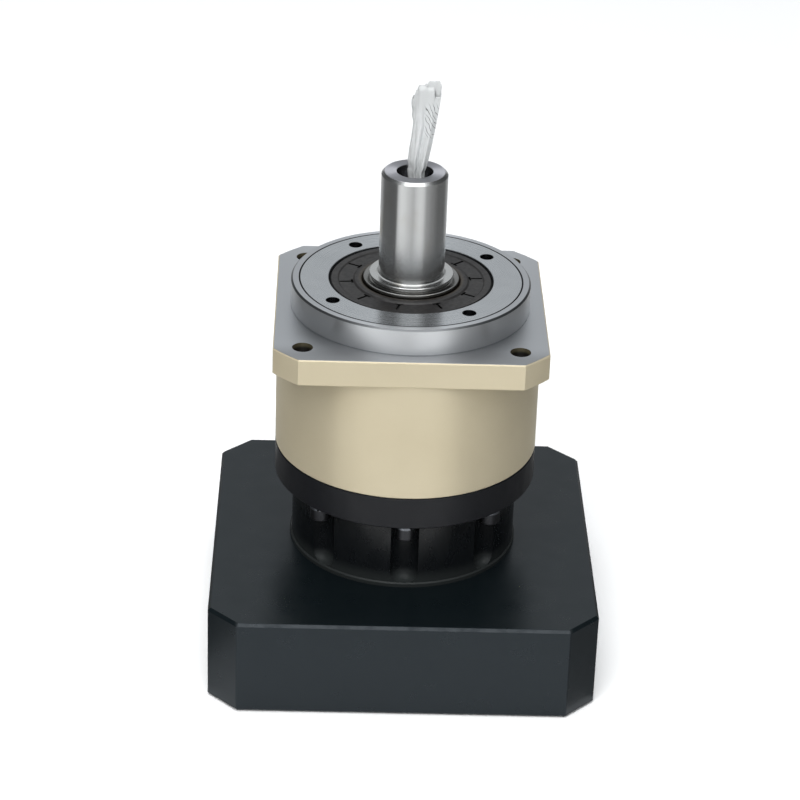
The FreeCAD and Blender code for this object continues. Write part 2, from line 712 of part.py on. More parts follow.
def output_shaft_carrier():
    """Output shaft and planet carrier in one piece: two plates, three webs and two journals."""
    bearing_top = FRONT_BEARING_BOTTOM + FRONT_BEARING[2]
    rear_seat_top = REAR_BEARING_BOTTOM + REAR_BEARING[2]
    groove_r = FRONT_BEARING[0] - FRONT_GROOVE_DEPTH
    groove_top = bearing_top + FRONT_CLIP + CLIP_ROOM
    blank = turned(
        [
            (CARRIER_BORE_R, REAR_BEARING_BOTTOM + 0.3),
            (REAR_BEARING[0] - 0.5, REAR_BEARING_BOTTOM + 0.3),
            (REAR_BEARING[0], REAR_BEARING_BOTTOM + 0.8),
            (REAR_BEARING[0], rear_seat_top),
            (REAR_BEARING[0] + 2.5, rear_seat_top),
            (REAR_BEARING[0] + 2.5, REAR_PLATE_BOTTOM),
            (CARRIER_R, REAR_PLATE_BOTTOM),
            (CARRIER_R, FRONT_PLATE_TOP),
            (FRONT_BEARING[0] + 3.5, FRONT_PLATE_TOP),
            (FRONT_BEARING[0] + 3.5, FRONT_BEARING_BOTTOM),
            (FRONT_BEARING[0], FRONT_BEARING_BOTTOM),
            (FRONT_BEARING[0], bearing_top),
            (groove_r, bearing_top),
            (groove_r, groove_top),
            (FRONT_BEARING[0], groove_top),
            (FRONT_BEARING[0], JOURNAL_BOTTOM - 0.4),
            (FRONT_BEARING[0] - 0.4, JOURNAL_BOTTOM),
            (JOURNAL_R, JOURNAL_BOTTOM),
            (JOURNAL_R, JOURNAL_TOP - 0.4),
            (JOURNAL_R - 0.12, JOURNAL_TOP - 0.12),
            (JOURNAL_R - 0.4, JOURNAL_TOP),
            (COLLAR_NECK_R + 0.4, JOURNAL_TOP - 0.3),
            (COLLAR_NECK_R, JOURNAL_TOP - 0.1),
            (COLLAR_NECK_R, COLLAR_TOP - 0.7),
            (COLLAR_R, COLLAR_TOP - 0.5),
            (COLLAR_R, COLLAR_TOP - 0.2),
            (COLLAR_R - 0.2, COLLAR_TOP),
            (SHAFT_R + 0.6, COLLAR_TOP),
            (SHAFT_R + 0.18, COLLAR_TOP + 0.18),
            (SHAFT_R, COLLAR_TOP + 0.6),
            (SHAFT_R, SHAFT_TIP - 1.0),
            (SHAFT_R - 1.0, SHAFT_TIP),
            (0, SHAFT_TIP),
            (0, FRONT_PLATE_BOTTOM),
            (CARRIER_BORE_R, FRONT_PLATE_BOTTOM),
        ]
    )
    window = tube(SHAFT_R, 19.5, REAR_PLATE_TOP, FRONT_PLATE_BOTTOM)
    shaft = blank.cut(window).cut(centre_hole())
    planet_room = MODULE * PLANET_TEETH / 2 + ADDENDUM + 0.9
    for _, (x, y) in planet_places():
        shaft = shaft.cut(cylinder(planet_room, REAR_PLATE_TOP, FRONT_PLATE_BOTTOM, x, y))
        shaft = shaft.cut(
            cylinder(PIN_R + FIT_GAP, REAR_PLATE_BOTTOM - 1, FRONT_PLATE_TOP - 0.3, x, y)
        )
    return shaft


def planet_pin(x, y):
    pin = cylinder(PIN_R, REAR_PLATE_BOTTOM + 0.2, FRONT_PLATE_TOP - 0.4, x, y)
    ends = level_edges(pin, REAR_PLATE_BOTTOM + 0.2) + level_edges(pin, FRONT_PLATE_TOP - 0.4)
    return pin.makeChamfer(SMALL_CHAMFER, ends)


def thrust_washers():
    """Two washers for each planet, one against each plate of the carrier."""
    washers = []
    for _, (x, y) in planet_places():
        for low in (REAR_PLATE_TOP + SIDE_GAP, FRONT_PLATE_BOTTOM - SIDE_GAP - WASHER_THICKNESS):
            disc = cylinder(WASHER_R, low, low + WASHER_THICKNESS, x, y)
            washers.append(disc.cut(cylinder(PIN_R + 0.1, low - 1, low + 2, x, y)))
    return washers


def input_sun_shaft():
    """Sun gear and hollow input shaft in one piece; the lower end is slit to grip the motor."""
    seat_low = INPUT_BEARING_BOTTOM
    seat_high = seat_low + INPUT_BEARING[2]
    groove_r = INPUT_BEARING[0] - INPUT_GROOVE_DEPTH
    groove_top = seat_high + INPUT_CLIP + CLIP_ROOM
    sun_pitch_r = MODULE * SUN_TEETH / 2
    sun_root_r = sun_pitch_r - DEDENDUM
    teeth_low = REAR_PLATE_TOP + 0.3
    teeth_high = FRONT_PLATE_BOTTOM - 0.6
    shaft = turned(
        [
            (0, MOTOR_SHAFT_ROOM_TOP),
            (MOTOR_SHAFT_R, MOTOR_SHAFT_ROOM_TOP),
            (MOTOR_SHAFT_R, CLAMP_HUB_BOTTOM + 0.6),
            (MOTOR_SHAFT_R + 0.6, CLAMP_HUB_BOTTOM),
            (CLAMP_HUB_R - 0.5, CLAMP_HUB_BOTTOM),
            (CLAMP_HUB_R, CLAMP_HUB_BOTTOM + 0.5),
            (CLAMP_HUB_R, CLAMP_HUB_TOP),
            (JOURNAL_R, CLAMP_HUB_TOP + 0.6),
            (JOURNAL_R, seat_low),
            (INPUT_BEARING[0], seat_low),
            (INPUT_BEARING[0], seat_high),
            (groove_r, seat_high),
            (groove_r, groove_top),
            (INPUT_BEARING[0], groove_top),
            (INPUT_BEARING[0], seat_high + 2.4),
            (sun_root_r + 1.5, seat_high + 4.0),
            (sun_root_r - 0.25, seat_high + 6.0),
            (sun_root_r - 0.25, teeth_low),
            (sun_root_r, teeth_low),
            (sun_root_r, teeth_high),
            (0, teeth_high),
        ]
    )
    sun = gear_prism(
        SUN_TEETH,
        sun_root_r,
        sun_pitch_r + ADDENDUM,
        -TOOTH_THINNING / 2,
        teeth_low,
        teeth_high,
        FIRST_PLANET_ANGLE,
    )
    shaft = shaft.fuse(sun)
    slit_height = CLAMP_SLIT_TOP - CLAMP_HUB_BOTTOM + 1
    slit_start = Vector(0, -CLAMP_SLIT_WIDTH / 2, CLAMP_HUB_BOTTOM - 1)
    slit = Part.makeBox(2 * CLAMP_HUB_R, CLAMP_SLIT_WIDTH, slit_height, slit_start)
    for one in around(slit, 4):
        shaft = shaft.cut(one)
    return shaft


def clamp_collar():
    """Split collar round the slit hub; its screw runs across the split, parallel to Y."""
    low = CLAMP_COLLAR_BOTTOM
    high = CLAMP_COLLAR_TOP
    disc = cylinder(CLAMP_COLLAR_R, low, high)
    disc = disc.makeChamfer(0.6, level_edges(disc, low) + level_edges(disc, high))
    collar = disc.cut(cylinder(CLAMP_HUB_R + RUNNING_GAP, low - 1, high + 1))
    split = Part.makeBox(CLAMP_COLLAR_R, CLAMP_GAP, high, Vector(0, -CLAMP_GAP / 2, low - 1))
    along = Vector(0, 1, 0)
    hole_start = Vector(CLAMP_SCREW_X, -CLAMP_COLLAR_R, CLAMP_SCREW_Z)
    hole = Part.makeCylinder(CLAMP_SCREW_R + 0.1, 2 * CLAMP_COLLAR_R, hole_start, along)
    seat_start = Vector(CLAMP_SCREW_X, CLAMP_SEAT_Y, CLAMP_SCREW_Z)
    seat = Part.makeCylinder(CLAMP_SCREW_HEAD_R + 0.35, CLAMP_COLLAR_R, seat_start, along)
    return collar.cut(split).cut(hole).cut(seat)


def clamp_screw():
    """The collar's screw, head towards the access hole in the rear of the plate."""
    head_height = 5.0
    screw = socket_screw(
        thread_r=CLAMP_SCREW_R,
        head_r=CLAMP_SCREW_HEAD_R,
        head_height=head_height,
        socket=4.0,
        z_head_low=-CLAMP_SEAT_Y - head_height,
        length=19.0,
    )
    screw.rotate(Vector(0, 0, 0), Vector(1, 0, 0), 90)
    screw.translate(Vector(CLAMP_SCREW_X, 0, CLAMP_SCREW_Z))
    return screw


def packing_twist():
    """A folded twist of film pushed into the centre hole, as a plain tapered solid."""
    wires = []
    for z, lean, half_x, half_y in TWIST_SECTIONS:
        oval = Part.Ellipse(Vector(lean, 0, z), half_x, half_y)
        wires.append(Part.Wire(oval.toShape()))
    return Part.makeLoft(wires, True)


def save_bearing(name, sizes, z_low):
    inner, outer, balls, cage = ball_bearing(sizes, z_low)
    save(f"{name}_inner_ring", inner)
    save(f"{name}_outer_ring", outer)
    save(f"{name}_balls", *balls)
    save(f"{name}_cage", cage)


def save_casing():
    save("gear_housing", gear_housing())
    save("front_retaining_ring", front_retaining_ring())
    save("input_housing", input_housing())
    o_ring = Part.makeTorus(O_RING_R, O_RING_WIRE_R, Vector(0, 0, HOUSING_BOTTOM - O_RING_WIRE_R))
    save("housing_o_ring", o_ring)
    save("motor_adapter_plate", motor_adapter_plate())
    save("access_plug", access_plug())


def save_fasteners():
    sizes = (SCREW_THREAD_R, SCREW_HEAD_R, SCREW_HEAD_HEIGHT, SCREW_SOCKET)
    washer_low = CLAMP_RING_BOTTOM - SPRING_WASHER
    length = HOUSING_BOTTOM + HOUSING_THREAD_USED - washer_low
    places = housing_screw_places()
    head_low = washer_low - SCREW_HEAD_HEIGHT
    save("housing_screws", *[socket_screw(*sizes, head_low, length, x, y) for x, y in places])
    save("housing_spring_washers", *[spring_washer(washer_low, x, y) for x, y in places])
    places = adapter_screw_places()
    length = ADAPTER_SCREW_LENGTH
    head_low = PLATE_TOP - ADAPTER_SEAT_DEPTH - SCREW_HEAD_HEIGHT
    save("adapter_screws", *[socket_screw(*sizes, head_low, length, x, y) for x, y in places])


def save_seals():
    seal, spring = shaft_seal(PILOT_TOP - 0.3, 1)
    save("output_seal", seal)
    save("output_seal_spring", spring)
    clip_bottom = INPUT_BEARING_BOTTOM - BORE_CLIP - CLIP_ROOM
    seal, spring = shaft_seal(clip_bottom - SEAL_WIDTH - 0.2, -1)
    save("input_seal", seal)
    save("input_seal_spring", spring)


def save_circlips():
    half_room = CLIP_ROOM / 2
    bore_r = FRONT_BEARING[0]
    low = FRONT_BEARING_BOTTOM + FRONT_BEARING[2] + half_room
    inner_r = bore_r - FRONT_GROOVE_DEPTH + RUNNING_GAP
    save("front_bearing_circlip", circlip(inner_r, bore_r + CLIP_REACH, low, FRONT_CLIP))
    bore_r = INPUT_BEARING[0]
    low = INPUT_BEARING_BOTTOM + INPUT_BEARING[2] + half_room
    inner_r = bore_r - INPUT_GROOVE_DEPTH + RUNNING_GAP
    save("input_shaft_circlip", circlip(inner_r, bore_r + CLIP_REACH, low, INPUT_CLIP))
    bore_r = INPUT_BEARING[1]
    low = INPUT_BEARING_BOTTOM - BORE_CLIP - half_room
    outer_r = bore_r + BORE_GROOVE_DEPTH - RUNNING_GAP
    clip = circlip(bore_r - CLIP_REACH, outer_r, low, BORE_CLIP, eyes_inside=True)
    save("input_bore_circlip", clip)


def save_turning_pieces():
    save("output_shaft_carrier", output_shaft_carrier())
    save("planet_thrust_washers", *thrust_washers())
    for number, (angle, (x, y)) in enumerate(planet_places(), 1):
        save(f"planet_gear_{number}", planet_gear(angle, x, y))
        save(f"planet_needles_{number}", *needle_rollers(x, y))
        save(f"planet_pin_{number}", planet_pin(x, y))
    save("input_sun_shaft", input_sun_shaft())
    save("clamp_collar", clamp_collar())
    save("clamp_screw", clamp_screw())
    save("packing_twist", packing_twist())


os.makedirs("parts", exist_ok=True)
save_casing()
save_fasteners()
save_seals()
save_circlips()
save_bearing("front_bearing", FRONT_BEARING, FRONT_BEARING_BOTTOM)
save_bearing("rear_bearing", REAR_BEARING, REAR_BEARING_BOTTOM)
save_bearing("input_bearing", INPUT_BEARING, INPUT_BEARING_BOTTOM)
save_turning_pieces()
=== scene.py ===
"""A planetary gearbox on its motor adapter plate: materials, the film twist, floor, light and camera.

Metres throughout, except for the film twist's own table, which is in millimetres.
The origin is the centre of the adapter plate's underside and +Z runs up the shaft.
"""

import math

import bmesh
import bpy
from mathutils import Matrix, Vector, noise


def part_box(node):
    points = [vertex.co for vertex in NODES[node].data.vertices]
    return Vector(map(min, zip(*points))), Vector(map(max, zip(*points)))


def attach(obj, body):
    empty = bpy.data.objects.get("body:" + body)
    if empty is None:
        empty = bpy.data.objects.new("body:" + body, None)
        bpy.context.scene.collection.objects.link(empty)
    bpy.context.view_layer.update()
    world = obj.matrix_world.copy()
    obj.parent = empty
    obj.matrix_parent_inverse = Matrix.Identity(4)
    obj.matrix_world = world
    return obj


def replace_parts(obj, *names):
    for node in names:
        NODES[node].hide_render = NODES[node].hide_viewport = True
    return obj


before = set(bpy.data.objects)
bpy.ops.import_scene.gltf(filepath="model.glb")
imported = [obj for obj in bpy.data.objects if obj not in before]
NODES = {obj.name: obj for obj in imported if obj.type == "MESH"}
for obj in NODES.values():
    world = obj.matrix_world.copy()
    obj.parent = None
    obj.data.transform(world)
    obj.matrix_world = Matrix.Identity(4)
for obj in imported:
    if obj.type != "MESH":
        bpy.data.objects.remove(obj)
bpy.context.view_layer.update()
MM = 0.001

# Heights read from the frame, and those of edges a known step away from them
PILOT_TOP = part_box("gear_housing")[1].z
HOUSING_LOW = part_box("gear_housing")[0].z
FLANGE_TOP = PILOT_TOP - 9.2 * MM
CLAMP_RING_LOW = HOUSING_LOW - 11.4 * MM
SHAFT_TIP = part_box("output_shaft_carrier")[1].z
COLLAR_LOW = FLANGE_TOP + 10.25 * MM
PLATE_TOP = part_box("motor_adapter_plate")[1].z
TWIST_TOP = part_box("packing_twist")[1].z

# Radii from the shaft's axis at which a surface changes
PILOT_R = 40.0 * MM
RECESS_R = 37.5 * MM
RETAINER_R = 37.1 * MM
SPANNER_BAND_R = 28.4 * MM
SEAL_GROOVE_R = 26.65 * MM
SEAL_TRAY_R = 18.95 * MM
SEAL_LIP_R = 17.4 * MM
CENTRE_HOLE_R = 5.95 * MM

# Other sizes of the machined pieces
PILOT_CHAMFER = 0.6 * MM
PLATE_BEVEL = 0.95 * MM
PLATE_STRAIGHT = 55.0 * MM
FLANGE_HOLE_R = 3.5 * MM
FLANGE_HOLE_CIRCLE_R = 50.0 * MM
FLANGE_HOLES = [
    (
        FLANGE_HOLE_CIRCLE_R * math.cos(math.radians(a)),
        FLANGE_HOLE_CIRCLE_R * math.sin(math.radians(a)),
    )
    for a in (45, 135, 225, 315)
]

# The film twist, in millimetres, with heights from the shaft's tip. Each panel of the sheet, from
# its rear edge round the fold on the right to the front: its width, its heading in plan at the
# foot and at the top (0 along +X, 90 to the rear), its cut height and the length that curls over
FILM_PANELS = (
    (1.0, 30, 10, 30.2, 0.0),
    (2.2, 24, 2, 31.0, 0.0),
    (1.6, -40, -8, 31.2, 0.0),
    (0.8, -60, -30, 30.2, 0.0),
    (0.7, -100, -80, 27.4, 0.0),
    (2.3, 244, 186, 26.1, 0.0),
    (2.6, 116, 178, 27.5, 3.6),
    (1.3, 238, 184, 27.9, 3.8),
    (1.5, 122, 174, 27.8, 3.6),
    (0.9, 150, 176, 27.0, 1.2),
    (0.9, 112, 140, 25.2, 0.0),
    (0.6, 80, 90, 24.2, 0.0),
    (2.4, 24, 15, 26.0, 0.0),
)
FILM_HEADING_FOOT = 1
FILM_HEADING_TOP = 2
FILM_CUT = 3
FILM_CURL = 4
# The panels before the fold on the right, and how far each crease is rounded
FILM_FOLD = 5
FILM_CREASE = 0.28
FILM_FOOT = -5.0
FILM_TOP = (TWIST_TOP - SHAFT_TIP) / MM
# The fold's x at the shaft's tip and at the top, the power of the curve between them, and its y
FILM_LEAN = (3.1, 8.2, 0.75)
FILM_FOLD_Y = -0.2
# How far the pleats have opened at some heights, from 0 in the hole to 1 at the top
FILM_OPENING = (
    (-5.0, 0.0), (0.0, 0.06), (4.0, 0.24), (8.0, 0.30), (16.0, 0.32), (20.0, 0.56), (25.0, 1.0)
)
# The uneven turn of the panels, in degrees, how much of it the top loses, and its scale in plan
# and in height
FILM_SWAY = 14.0
FILM_SWAY_LOSS = 0.8
FILM_SWAY_SCALE = (0.35, 0.09)
FILM_SWAY_SEED = 4.0
FILM_CURL_R = 1.5
FILM_THICKNESS = 0.10
FILM_ROWS = 70
FILM_COLUMNS = 72
FILM_WALK_STEPS = 40

# Crease lines on the film, in metres: their spacing, and how far each wanders
CREASE_PITCH = 2.3 * MM
CREASE_WANDER = 5.0 * MM

# Brightness round the reflection ring: the angle from the front, positive to the right, and level
SECTORS = (
    (-180, 0.55),
    (-150, 0.45),
    (-125, 0.15),
    (-75, 0.12),
    (-62, 0.16),
    (-57, 0.70),
    (-46, 0.98),
    (-34, 0.92),
    (-18, 0.74),
    (-3, 0.60),
    (10, 0.82),
    (22, 0.90),
    (32, 0.80),
    (42, 0.44),
    (60, 0.30),
    (90, 0.15),
    (125, 0.15),
    (150, 0.45),
    (180, 0.55),
)
RING_TINT = (0.965, 0.985, 1.0)
RING_STEPS = 144
RING_HEIGHT = 0.6 * MM
RING_FAR = 3.0
# The ring's inner edge: beside the plate, past its corners, and further out in front and behind
RING_NEAR_SIDE = 0.068
RING_NEAR_CORNER = 0.088
RING_NEAR_FRONT = 0.15
RING_FRONT_COSINE = 0.75

# Brightness of the surroundings against the upward part of the direction
SKY = ((0.0, 0.14), (0.18, 0.26), (0.45, 0.62), (0.9, 1.0))
SKY_TINT = (0.94, 0.975, 1.0)

FLOOR_HALF = 6.0
LIGHT_AIM_HEIGHT = 0.09

# The camera: where it stands, in degrees and metres, and the point it aims at
CAMERA_AZIMUTH = -1.573
CAMERA_ELEVATION = 27.255
CAMERA_ROLL = 2.046
CAMERA_DISTANCE = 0.9753
CAMERA_LENS = 128.85
CAMERA_SENSOR = 36.0
AIM_RIGHT = -2.257 * MM
AIM_HEIGHT = 84.78 * MM

QUARTER_TURN = 0.25
LATHE_RUN = 1.37


# Node helpers


class Graph:
    """Short calls that add nodes to a shader node tree."""

    def __init__(self, tree):
        self.tree = tree

    def feed(self, socket, value):
        """Links a node's output to a socket, or sets the socket to a constant."""
        if isinstance(value, bpy.types.NodeSocket):
            self.tree.links.new(value, socket)
        else:
            socket.default_value = value

    def node(self, kind, inputs, output=0, **settings):
        """Adds a node and returns one of its outputs."""
        made = self.tree.nodes.new("ShaderNode" + kind)
        for key, value in settings.items():
            setattr(made, key, value)
        for key, value in inputs.items():
            self.feed(made.inputs[key], value)
        return made.outputs[output]

    def math(self, operation, a, b=0.0):
        return self.node("Math", {0: a, 1: b}, operation=operation)

    def both(self, a, b):
        """Where both masks are 1; also a mask times an amount."""
        return self.math("MULTIPLY", a, b)

    def either(self, a, b):
        return self.math("MAXIMUM", a, b)

    def part(self, vector, letter):
        """One component of a vector."""
        return self.node("SeparateXYZ", {0: vector}, output=letter)

    def step(self, value, low, high, to_low=0.0, to_high=1.0):
        """A smooth change from to_low to to_high as value goes from low to high."""
        inputs = {"Value": value, 1: low, 2: high, 3: to_low, 4: to_high}
        return self.node("MapRange", inputs, interpolation_type="SMOOTHSTEP")

    def above(self, value, place, blur):
        """A mask: 1 where value is more than place, blended over blur on each side."""
        return self.step(value, place - blur, place + blur)

    def below(self, value, place, blur):
        """A mask: 1 where value is less than place, blended over blur on each side."""
        return self.step(value, place + blur, place - blur)

    def vary(self, pattern, low, high):
        """A value that follows a noise pattern from low to high."""
        return self.step(pattern, 0.3, 0.7, low, high)


class Shader(Graph):
    """A principled material; every pattern in it is fixed to the object's own coordinates.

    The colour and roughness given first are plain ones, which patterns then replace.
    """

    def __init__(self, name, colour, metallic, roughness, **sockets):
        self.material = bpy.data.materials.new(name)
        self.material.use_nodes = True
        super().__init__(self.material.node_tree)
        self.bsdf = self.tree.nodes["Principled BSDF"]
        self.set("Base Color", (*colour, 1.0))
        self.set("Metallic", metallic)
        self.set("Roughness", roughness)
        for socket, value in sockets.items():
            self.set(socket.replace("_", " "), value)
        self.position = self.node("TexCoord", {}, output="Object")

    def set(self, socket, value):
        """Sets or links one socket of the surface shader."""
        self.feed(self.bsdf.inputs[socket], value)

    def axis(self, letter):
        return self.part(self.position, letter)

    def flat(self):
        """The position with its height taken out."""
        return self.node(
            "VectorMath", {0: self.position, 1: (1.0, 1.0, 0.0)}, operation="MULTIPLY"
        )

    def radius(self):
        """Distance from the shaft's axis."""
        return self.node("VectorMath", {0: self.flat()}, output="Value", operation="LENGTH")

    def noise(self, size, detail=2.0, stretch=(1.0, 1.0, 1.0), offset=0.0):
        """Smooth noise from 0 to 1 with features of about the given size."""
        place = self.node(
            "Mapping",
            {"Vector": self.position, "Scale": stretch, "Location": (offset, offset, offset)},
        )
        return self.node(
            "TexNoise", {"Vector": place, "Scale": 1.0 / size, "Detail": detail}, output="Fac"
        )

    def lathe_marks(self, pitch):
        """Noise that depends only on radius and height, as marks from turning or grinding do."""
        place = self.math("ADD", self.radius(), self.math("MULTIPLY", self.axis("Z"), LATHE_RUN))
        return self.node(
            "TexNoise", {"W": place, "Scale": 1.0 / pitch, "Detail": 3.0},
            output="Fac", noise_dimensions="1D",
        )

    def mix(self, factor, a, b, kind="RGBA"):
        """Blends two colours, or two numbers or vectors when kind says so."""
        made = self.tree.nodes.new("ShaderNodeMix")
        made.data_type = kind
        for key, value in (("Factor", factor), ("A", a), ("B", b)):
            socket = next(s for s in made.inputs if s.name == key and s.enabled)
            if isinstance(value, tuple):
                value = (*value, 1.0)
            self.feed(socket, value)
        return next(s for s in made.outputs if s.enabled)

    def bump(self, *layers):
        """Adds height layers, each (height, depth in metres), to the surface normal."""
        normal = None
        for height, depth in layers:
            inputs = {"Height": height, "Distance": depth, "Strength": 1.0}
            if normal is not None:
                inputs["Normal"] = normal
            normal = self.node("Bump", inputs)
        self.set("Normal", normal)

    def turned_tangent(self, strength, faced=None):
        """Stretches reflections across circular machining marks, or along them on a faced end."""
        self.set("Anisotropic", strength)
        self.set("Anisotropic Rotation", QUARTER_TURN)
        tangent = self.node("Tangent", {}, direction_type="RADIAL", axis="Z")
        if faced is not None:
            outward = self.node("VectorMath", {0: self.flat()}, operation="NORMALIZE")
            tangent = self.mix(faced, tangent, outward, kind="VECTOR")
        self.set("Tangent", tangent)

    def near_holes(self, places, radius, blur):
        """A mask: 1 inside vertical holes of one radius at the given places."""
        flat = self.flat()
        nearest = None
        for x, y in places:
            away = self.node(
                "VectorMath", {0: flat, 1: (x, y, 0.0)}, output="Value", operation="DISTANCE"
            )
            nearest = away if nearest is None else self.math("MINIMUM", nearest, away)
        return self.below(nearest, radius, blur)

    def dress(self, *names):
        """Puts the material on every slot of the named nodes."""
        for name in names:
            slots = NODES[name].material_slots
            for slot in slots:
                slot.material = self.material
            if not slots:
                NODES[name].data.materials.append(self.material)


# Casing


def housing_steel(s, marks):
    """Bare steel on the flange's top and the pilot, with a painted highlight on the pilot's side,
    painted shade at the front and on the pilot's top edge, and a dark joint.
    """
    z = s.axis("Z")
    radius = s.radius()
    # Painted highlight: the pilot's side is painted lighter than the flange's top.
    pilot_painted_highlight = s.both(
        s.above(radius, PILOT_R - 0.125 * MM, 0.075 * MM),
        s.above(z, FLANGE_TOP + 0.35 * MM, 0.15 * MM),
    )
    flange_face = s.below(z, FLANGE_TOP + 0.25 * MM, 0.15 * MM)
    # Painted shade: the flange's top face is darkened towards the front edge.
    front = s.below(s.axis("Y"), -37 * MM, 7 * MM)
    front_painted_shade = s.both(flange_face, s.step(front, 0.0, 1.0, 0.0, 0.40))
    # Painted shade: the pilot's top bevel is darkened to hold back its highlight.
    chamfer_painted_shade = s.both(
        s.above(radius, PILOT_R - PILOT_CHAMFER, 0.05 * MM),
        s.above(z, PILOT_TOP - PILOT_CHAMFER, 0.05 * MM),
    )
    joint = s.both(
        s.below(radius, RECESS_R - 0.04 * MM, 0.04 * MM),
        s.above(z, PILOT_TOP - 0.2 * MM, 0.1 * MM),
    )
    steel = s.mix(marks, (0.58, 0.595, 0.62), (0.70, 0.715, 0.735))
    steel = s.mix(pilot_painted_highlight, steel, (0.88, 0.89, 0.90))
    steel = s.mix(front_painted_shade, steel, (0.2, 0.2, 0.2))
    steel = s.mix(s.both(chamfer_painted_shade, 0.85), steel, (0.16, 0.165, 0.17))
    return s.mix(joint, steel, (0.02, 0.02, 0.02))


def champagne_housing():
    """Champagne coat on the body and the flange's edge; the machined top, pilot and bores are bare."""
    s = Shader("champagne_coat", (0.64, 0.565, 0.41), 0.45, 0.42)
    z = s.axis("Z")
    marks = s.lathe_marks(0.16 * MM)
    bare = s.either(
        s.above(z, FLANGE_TOP - 0.04 * MM, 0.02 * MM),
        s.below(s.radius(), RECESS_R, 0.1 * MM),
    )
    coat = s.mix(s.noise(18 * MM, 3.0), (0.600, 0.523, 0.362), (0.660, 0.583, 0.418))
    surface = s.mix(bare, coat, housing_steel(s, marks))
    # Painted shade: the bolt holes' walls go from a dark gold at the mouth to near black deeper down.
    hole = s.both(
        s.near_holes(FLANGE_HOLES, FLANGE_HOLE_R, 0.05 * MM),
        s.below(z, FLANGE_TOP - 0.06 * MM, 0.04 * MM),
    )
    hole_mouth = s.above(z, FLANGE_TOP - 1.35 * MM, 0.65 * MM)
    hole_wall_shade = s.mix(hole_mouth, (0.012, 0.011, 0.009), (0.12, 0.105, 0.065))
    s.set("Base Color", s.mix(hole, surface, hole_wall_shade))
    s.set("Metallic", s.step(bare, 0.0, 1.0, 0.45, 1.0))
    coat_rough = s.vary(s.noise(0.5 * MM), 0.38, 0.46)
    steel_rough = s.vary(marks, 0.31, 0.36)
    s.set("Roughness", s.mix(bare, coat_rough, steel_rough, kind="FLOAT"))
    s.bump((s.noise(0.35 * MM), 0.004 * MM), (s.both(marks, bare), 0.006 * MM))
    s.turned_tangent(0.85)
    s.dress("gear_housing")


def retaining_ring():
    """Ground steel, with painted shade in the spanner holes and a dark line where the ring meets the
    housing.
    """
    s = Shader("ground_steel", (0.6, 0.61, 0.64), 1.0, 0.28)
    marks = s.lathe_marks(0.14 * MM)
    radius = s.radius()
    # Painted shade: the spanner holes are darkened below the ring's face.
    spanner_hole_shade = s.both(
        s.below(s.axis("Z"), PILOT_TOP - 0.225 * MM, 0.125 * MM),
        s.above(radius, SPANNER_BAND_R, 0.2 * MM),
    )
    rim = s.above(radius, RETAINER_R - 0.2 * MM, 0.05 * MM)
    ground = s.mix(s.noise(6 * MM, 3.0), (0.56, 0.58, 0.60), (0.66, 0.68, 0.70))
    ground = s.mix(spanner_hole_shade, ground, (0.16, 0.16, 0.17))
    s.set("Base Color", s.mix(rim, ground, (0.04, 0.04, 0.044)))
    s.set("Roughness", s.vary(marks, 0.20, 0.30))
    s.bump((marks, 0.004 * MM), (s.noise(0.3 * MM), 0.001 * MM))
    s.turned_tangent(0.75)
    s.dress("front_retaining_ring")


def black_housing():
    """Dull black on the outer ring, smoother and deeper black on the neck; its foot rougher and
    painted paler as painted light.
    """
    s = Shader("black_gloss", (0.006, 0.0065, 0.0075), 0.0, 0.35, Specular_IOR_Level=0.33)
    z = s.axis("Z")
    neck = s.below(z, CLAMP_RING_LOW + 0.1 * MM, 0.1 * MM)
    # Painted light: the neck's foot is painted paler where its upward ramps catch the light; it is
    # also made rougher below.
    foot = s.below(z, PLATE_TOP + 4.4 * MM, 2.6 * MM)
    neck_colour_with_painted_light = s.mix(foot, (0.0052, 0.0062, 0.0072), (0.020, 0.023, 0.023))
    s.set("Base Color", s.mix(neck, (0.0055, 0.0060, 0.0080), neck_colour_with_painted_light))
    smears = s.noise(5 * MM, 4.0, (1.0, 1.0, 0.5))
    ring_rough = s.vary(smears, 0.38, 0.46)
    neck_rough = s.math("ADD", s.vary(smears, 0.24, 0.34), s.both(foot, 0.13))
    s.set("Roughness", s.mix(neck, ring_rough, neck_rough, kind="FLOAT"))
    s.bump((s.lathe_marks(0.25 * MM), 0.001 * MM), (s.noise(0.5 * MM), 0.002 * MM))
    s.dress("input_housing")


def adapter_plate():
    """Blue-black anodised plate, with a painted highlight on its top bevel along the straight sides.
    """
    s = Shader("black_anodised", (0.003, 0.0055, 0.008), 0.0, 0.3, Specular_IOR_Level=0.36)
    s.set("Specular Tint", (0.80, 0.90, 1.0, 1.0))
    z = s.axis("Z")
    coat = s.mix(s.noise(30 * MM, 4.0), (0.0028, 0.0050, 0.0062), (0.0046, 0.0072, 0.0084))
    # Painted highlight: the top bevel is painted paler along the straight sides, broken up by noise.
    bevel = s.both(
        s.above(z, PLATE_TOP - PLATE_BEVEL, 0.10 * MM),
        s.below(z, PLATE_TOP - 0.10 * MM, 0.05 * MM),
    )
    along = s.below(s.math("ABSOLUTE", s.axis("X")), PLATE_STRAIGHT, 1.0 * MM)
    highlight_breakup = s.step(s.noise(4 * MM, 3.0), 0.30, 0.60, 0.45, 1.0)
    bevel_painted_highlight = s.both(s.both(bevel, along), highlight_breakup)
    s.set("Base Color", s.mix(bevel_painted_highlight, coat, (0.034, 0.038, 0.041)))
    s.set("Roughness", s.vary(s.noise(9 * MM, 4.0), 0.27, 0.33))
    s.bump((s.noise(0.22 * MM, 3.0), 0.005 * MM))
    s.dress("motor_adapter_plate")


